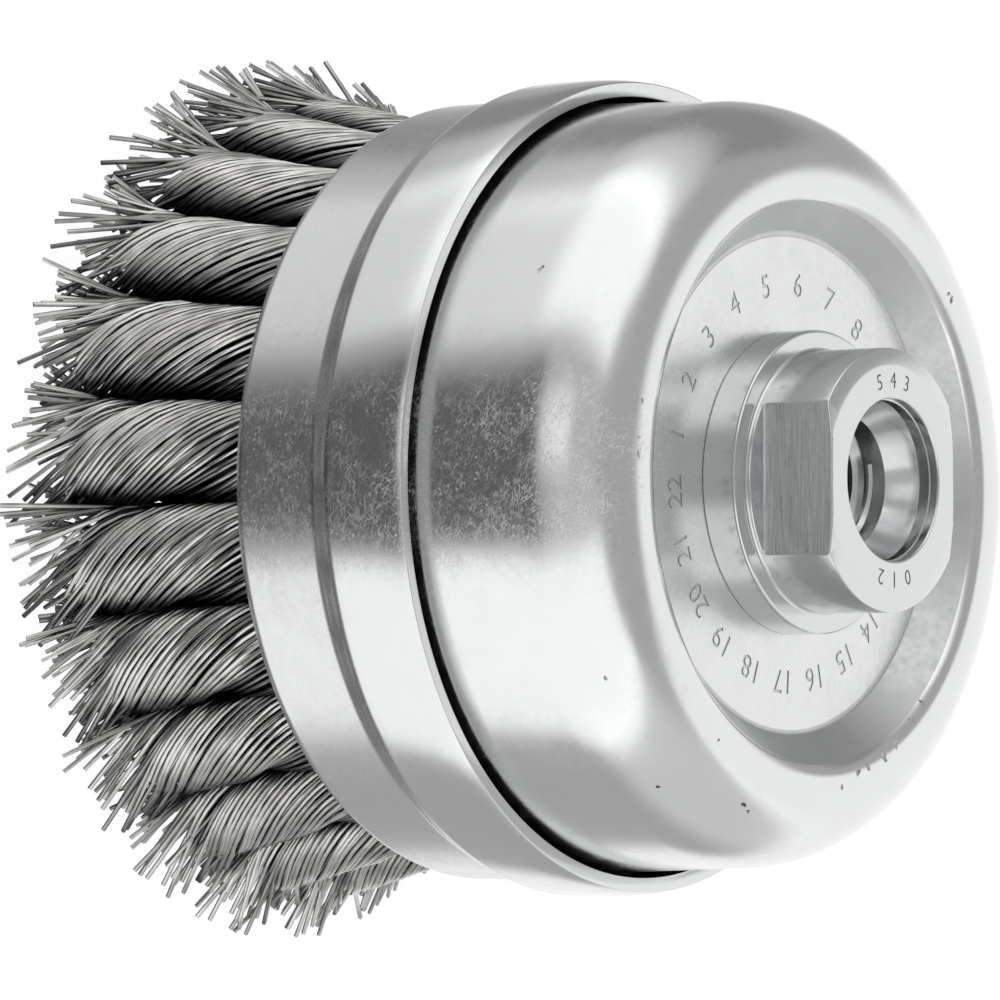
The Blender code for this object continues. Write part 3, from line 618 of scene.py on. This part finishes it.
def knot_wires(number):
    """The wires of one knot as lists of points from tip to top, in the knot's own (outward, across,
    up) frame. Layers 0 and 1 are the two outermost, and layer 4 fills the core's lower half."""
    rng = random.Random(1000 + number)
    wires = []
    for layer, count in ((0, OUTER_WIRES), (1, INNER_WIRES), (4, CORE_WIRES)):
        for i in range(count):
            around = 2 * math.pi * (i + rng.uniform(-0.2, 0.2)) / count
            size = 1 - WIRE_RADIUS * (1 + 2 * layer) / KNOT_HALF_DEPTH

            # The tip ends near 1.8 mm up, or for one wire in ten anywhere up to 4.5 mm. The wire leaves
            # the rope near FRAY_Z, waves by up to 0.16 mm, and one in seven lies up to twice as far off
            end = max(0.3, rng.gauss(1.8, 1.0))
            if rng.random() < 0.1:
                end = rng.uniform(0.3, 4.5)
            leave = max(end + 1.5, rng.gauss(FRAY_Z, 1.3))
            wave_height, wave_start = rng.uniform(0.0, 0.16), rng.uniform(0, 6.28)
            wave_length = rng.uniform(11, 20)
            lie = rng.uniform(-0.015, 0.01) * (2 if rng.random() < 0.15 else 1)
            heights = [leave - LEAD_OUT] + [leave + (RING_FRONT_Z - leave) * s / 13 for s in range(14)]
            if layer == 0:
                heights += [RING_FRONT_Z + (KNOT_TOP_Z - 0.2 - RING_FRONT_Z) * s / 8 for s in range(1, 9)]
            elif layer == 4:
                heights = heights[:8]
            points = []
            for height in heights:
                wave = wave_height * math.sin(2 * math.pi * height / wave_length + wave_start)
                radial, sideways = knot_point(height, around + wave / KNOT_HALF_WIDTH,
                                              size + lie + 0.15 * wave / KNOT_HALF_WIDTH)
                points.append(Vector((radial, sideways, height)))

            # The free end runs on straight, as the rope's last LEAD_OUT points it, with a stray of its
            # own and a splay outwards. No tip reaches past the circle REACH
            slope = (points[0] - points[1]) / LEAD_OUT
            spread = rng.uniform(0.7, 1.05) if rng.random() < 0.85 else rng.uniform(0.95, 1.3)
            stray = Vector((rng.gauss(0, 0.07), rng.gauss(0, 0.07)))
            free = Vector((slope.x * spread + stray.x, slope.y * spread + stray.y, -1.0))
            tip = points[0] + free * (points[0].z - end)
            tip.x += rng.uniform(0.4, 1.8)
            tip.x = min(tip.x, REACH - rng.uniform(0, 0.4) - tip.y * tip.y / 2 / REACH)
            points.insert(0, tip)
            wires.append(points)

    # Fold over the plate's rim: the leg's wires side by side round its middle line
    for i in range(LEG_WIRES):
        around = 2 * math.pi * i / LEG_WIRES
        off = Vector((LEG_RADIUS * math.cos(around), LEG_RADIUS * math.sin(around)))
        points = [Vector((FOLD_CIRCLE + FOLD_RADIUS + off.x, off.y, LEG_END_Z))]
        for s in range(13):
            bow = math.pi * s / 12
            reach = FOLD_RADIUS + off.x
            points.append(Vector((FOLD_CIRCLE + reach * math.cos(bow), off.y,
                                  FOLD_Z + reach * math.sin(bow))))
        points.append(Vector((FOLD_CIRCLE - FOLD_RADIUS - off.x, off.y, LEG_END_Z)))
        wires.append(points)
    return wires


for knot in range(KNOT_COUNT):
    angle = KNOT_START_ANGLE + 2 * math.pi * knot / KNOT_COUNT
    outward = Vector((math.cos(angle), math.sin(angle), 0))
    across = Vector((-math.sin(angle), math.cos(angle), 0))
    rope = bpy.data.curves.new("rope", "CURVE")
    rope.dimensions = "3D"
    rope.bevel_depth = WIRE_RADIUS
    rope.bevel_resolution = 1
    rope.use_fill_caps = True
    for wire in knot_wires(knot):
        spline = rope.splines.new("POLY")
        spline.points.add(len(wire) - 1)
        for target, point in zip(spline.points, wire):
            target.co = (*(outward * point.x + across * point.y + Vector((0, 0, point.z))), 1.0)
    drawn = bpy.data.objects.new("rope", rope)
    bpy.context.collection.objects.link(drawn)
    bpy.context.view_layer.update()
    mesh = bpy.data.meshes.new_from_object(drawn.evaluated_get(bpy.context.evaluated_depsgraph_get()))
    bm = bmesh.new()
    bm.from_mesh(mesh)
    bpy.data.objects.remove(drawn, do_unlink=True)
    bpy.data.curves.remove(rope)
    bpy.data.meshes.remove(mesh)

    # Core: a tube standing for the wires inside, which closes the rope's middle, with more rings where it
    # twists most
    rings = []
    for height in [5.0, 7.0] + [9.0 + 1.9 * s for s in range(10)] + [28.0 + 5.5 * s for s in range(6)]:
        size = CORE_TIP_SIZE if height < CORE_TIP_Z else CORE_SIZE
        ring = []
        for i in range(CORE_POINTS):
            radial, sideways = knot_point(height, 2 * math.pi * i / CORE_POINTS, size)
            ring.append(bm.verts.new(outward * radial + across * sideways + Vector((0, 0, height))))
        rings.append(ring)
    core = [bm.faces.new(rings[0]), bm.faces.new(rings[-1][::-1])]
    for lower, upper in zip(rings, rings[1:]):
        core += [bm.faces.new((lower[i - 1], upper[i - 1], upper[i], lower[i]))
                 for i in range(CORE_POINTS)]
    bmesh.ops.recalc_face_normals(bm, faces=core)
    # Painted shade for every vertex, the core's too, by where it lies in the rope
    unshaded = bm.verts.layers.float.new("unshaded")
    for vert in bm.verts:
        vert[unshaded] = how_unshaded(vert.co.dot(outward), vert.co.dot(across), vert.co.z)
    name = f"knot_{knot + 1:02d}"
    piece = finish_piece(name + "_wires", bm, wire_steel, smooth_angle=60)
    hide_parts(name)


# Studio: a floor of matt white paint, softboxes drawn in the sky, and the camera. To the camera the
# floor glows nearly white, so a faint shadow of the brush is left on it. Metal doesn't mirror it.
FLOOR_SIZE, FLOOR_GLOW, FLOOR_GLOW_SHARE = 3.0, 1.03, 0.94
floor_paint = bpy.data.materials.new("studio_floor_paint")
floor_paint.use_nodes = True
tree = floor_paint.node_tree
shader = tree.nodes["Principled BSDF"]
shader.inputs["Base Color"].default_value = (0.95, 0.95, 0.95, 1.0)
shader.inputs["Roughness"].default_value = 0.9
seen = add_node(tree, "ShaderNodeLightPath")["Is Camera Ray"]
glow = add_node(tree, "ShaderNodeEmission", {"Color": (1, 1, 1, 1), "Strength": FLOOR_GLOW})["Emission"]
share = add_node(tree, "ShaderNodeMath", {0: seen, 1: FLOOR_GLOW_SHARE}, operation="MULTIPLY")["Value"]
mixed = add_node(tree, "ShaderNodeMixShader", {0: share, 1: shader.outputs["BSDF"], 2: glow})["Shader"]
tree.links.new(mixed, tree.nodes["Material Output"].inputs["Surface"])
bm = bmesh.new()
bmesh.ops.create_grid(bm, x_segments=1, y_segments=1, size=FLOOR_SIZE)
mesh = bpy.data.meshes.new("studio_floor")
bm.to_mesh(mesh)
bm.free()
mesh.materials.append(floor_paint)
floor = bpy.data.objects.new("studio_floor", mesh)
bpy.context.collection.objects.link(floor)
floor.visible_glossy = False

# Sky: each softbox is (middle azimuth, half width, middle elevation, half height, edge, strength),
# in degrees. Azimuth 0 lies behind the camera and grows towards +X. A strength below 0 is a dark
# flag. Between DIM_TOP and DIM_FOOT the sky dims, as the floor in the brush's own shade would.
CAMERA_TURN = 2.35
SKY_LEVEL = 0.46
DIM_TOP, DIM_FOOT, DIM_LEVEL = -44, -62, 0.42
SOFTBOXES = [
    (-73, 28, 1, 53, 10, 0.42),
    (-73, 28, 16, 40, 24, 0.38),
    (47, 30, 3, 55, 9, 0.77),
    (166, 30, 6, 56, 12, 0.62),
    (104, 36, 22, 34, 20, 0.24),
    (-103, 14, 0, 40, 12, 0.22),
    (-134, 12, -12, 36, 10, -0.16),
    (-10, 26, -45, 38, 12, -0.33),
    (-17, 11, 8, 16, 4, 0.44),
    (-8, 26, 30, 24, 12, 0.10),
]
world = bpy.data.worlds.new("studio_sky")
bpy.context.scene.world = world
world.use_nodes = True
tree = world.node_tree
tree.nodes.clear()
look = add_node(tree, "ShaderNodeTexCoord")["Generated"]
parts = add_node(tree, "ShaderNodeSeparateXYZ", {0: look})
backward = add_node(tree, "ShaderNodeMath", {0: parts["Y"], 1: -1.0}, operation="MULTIPLY")["Value"]
azimuth = add_node(tree, "ShaderNodeMath", {0: parts["X"], 1: backward}, operation="ARCTAN2")["Value"]
elevation = add_node(tree, "ShaderNodeMath", {0: parts["Z"]}, operation="ARCSINE")["Value"]
total = SKY_LEVEL
for middle, half_width, rise, half_height, edge, strength in SOFTBOXES:
    turned_by = math.radians(middle + CAMERA_TURN)
    away = add_node(tree, "ShaderNodeMath", {0: azimuth, 1: turned_by}, operation="SUBTRACT")["Value"]
    away = add_node(tree, "ShaderNodeMath", {0: away, 1: math.pi, 2: -math.pi}, operation="WRAP")["Value"]
    away = add_node(tree, "ShaderNodeMath", {0: away}, operation="ABSOLUTE")["Value"]
    across_box = add_node(tree, "ShaderNodeMapRange", {
        "Value": away, "From Min": math.radians(half_width + edge / 2),
        "From Max": math.radians(half_width - edge / 2)}, interpolation_type="SMOOTHSTEP")["Result"]
    above = add_node(tree, "ShaderNodeMath", {
        0: elevation, 1: math.radians(rise)}, operation="SUBTRACT")["Value"]
    above = add_node(tree, "ShaderNodeMath", {0: above}, operation="ABSOLUTE")["Value"]
    up_box = add_node(tree, "ShaderNodeMapRange", {
        "Value": above, "From Min": math.radians(half_height + edge / 2),
        "From Max": math.radians(half_height - edge / 2)}, interpolation_type="SMOOTHSTEP")["Result"]
    lit = add_node(tree, "ShaderNodeMath", {0: across_box, 1: up_box}, operation="MULTIPLY")["Value"]
    total = add_node(tree, "ShaderNodeMath", {
        0: lit, 1: strength, 2: total}, operation="MULTIPLY_ADD")["Value"]
under = add_node(tree, "ShaderNodeMapRange", {
    "Value": elevation, "From Min": math.radians(DIM_FOOT), "From Max": math.radians(DIM_TOP),
    "To Min": DIM_LEVEL, "To Max": 1.0}, interpolation_type="SMOOTHSTEP")["Result"]
total = add_node(tree, "ShaderNodeMath", {0: total, 1: under}, operation="MULTIPLY")["Value"]
boxes = add_node(tree, "ShaderNodeBackground", {"Strength": total, "Color": (1, 1, 1, 1)})["Background"]
white = add_node(tree, "ShaderNodeBackground", {"Strength": 1.0, "Color": (1, 1, 1, 1)})["Background"]
seen = add_node(tree, "ShaderNodeLightPath")["Is Camera Ray"]
mixed = add_node(tree, "ShaderNodeMixShader", {0: seen, 1: boxes, 2: white})["Shader"]
add_node(tree, "ShaderNodeOutputWorld", {"Surface": mixed})

# Camera: looks down on the standing brush from 36 degrees, rolled so that the bush points right
CAMERA_PLACE = Vector((0.02330, -0.56780, 0.45724))
CAMERA_LOOK = Vector((-0.03146, 0.79804, -0.60179))
CAMERA_ROLL = math.radians(88.41)
CAMERA_LENS = 242.9
camera_data = bpy.data.cameras.new("camera")
camera_data.lens = CAMERA_LENS
camera_data.sensor_width = 36.0
camera_data.clip_start = 0.05
camera = bpy.data.objects.new("camera", camera_data)
bpy.context.collection.objects.link(camera)
camera.location = CAMERA_PLACE
upright = CAMERA_LOOK.to_track_quat("-Z", "Y").to_matrix()
camera.rotation_euler = (upright @ Matrix.Rotation(CAMERA_ROLL, 3, "Z")).to_euler()
bpy.context.scene.camera = camera

bpy.context.scene.view_settings.view_transform = "Standard"
